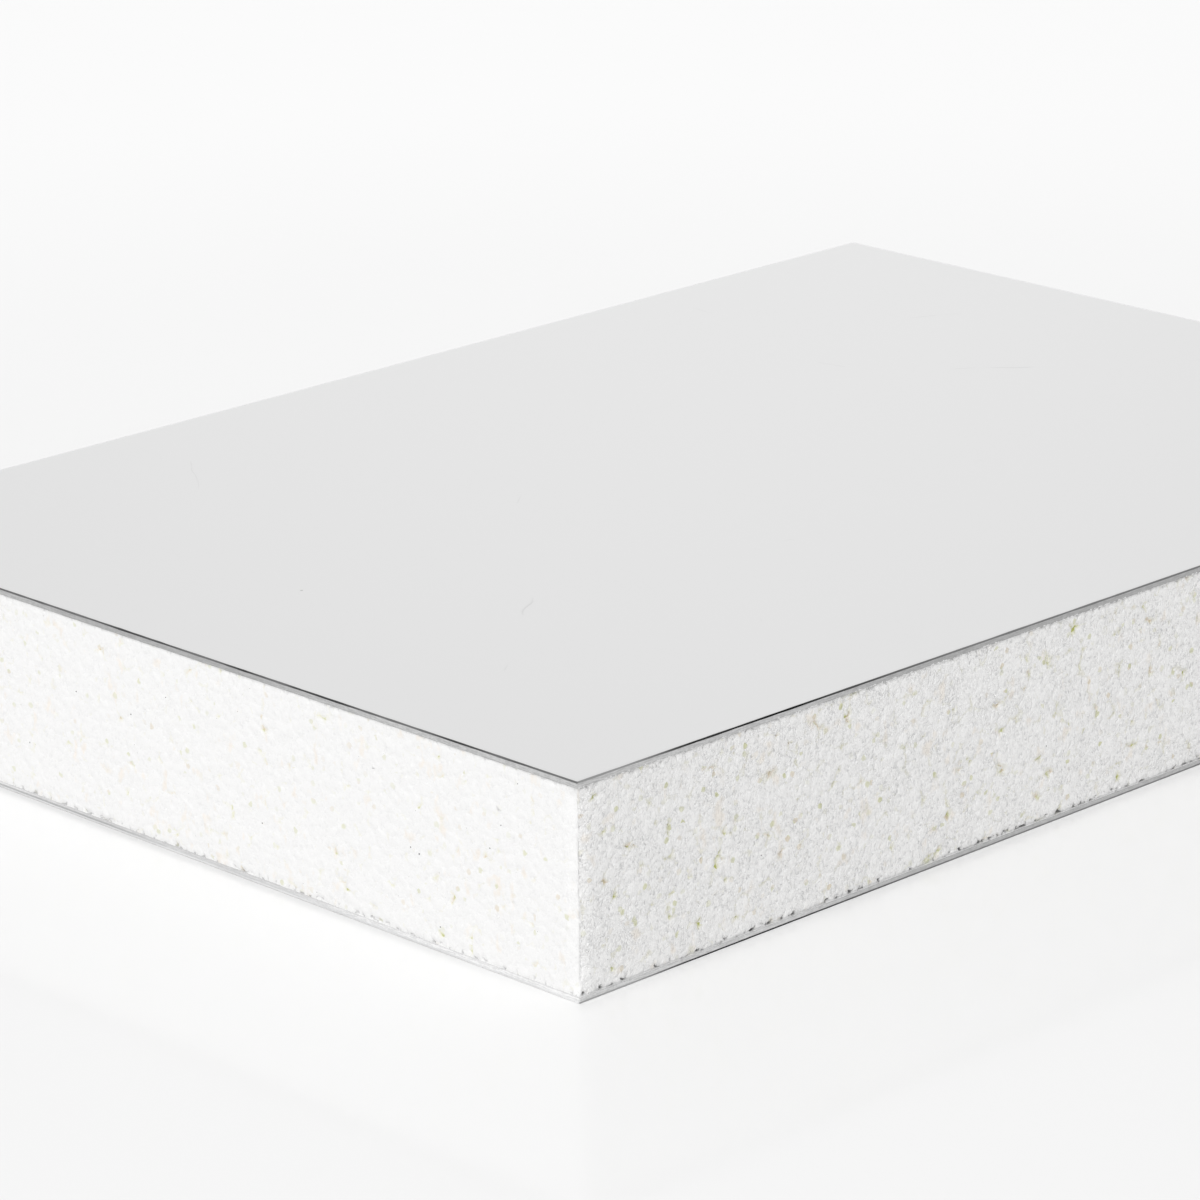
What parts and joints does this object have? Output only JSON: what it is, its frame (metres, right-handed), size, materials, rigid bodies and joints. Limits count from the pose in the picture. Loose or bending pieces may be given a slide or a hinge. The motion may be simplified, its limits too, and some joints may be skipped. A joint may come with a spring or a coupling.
{
  "type": "aluminium composite panel",
  "caption": "Flat rectangular sandwich panel: thin aluminium sheets bonded to a thick foam core that shows at the sawn edges; used as insulated cladding or infill.",
  "frame": {"origin": "centre of the back sheet's underside, where the panel lies on the floor", "axes": "+X along the long side, +Y along the short side, +Z through the thickness towards the face sheet"},
  "size_m": [0.21, 0.15, 0.028],
  "materials": {
    "aluminium_sheet": "satin",
    "foam": "matte, open bead foam"
  },
  "bodies": {
    "root": {"face_sheet": "aluminium_sheet", "foam_core": "foam", "back_sheet": "aluminium_sheet"}
  },
  "joints": []
}
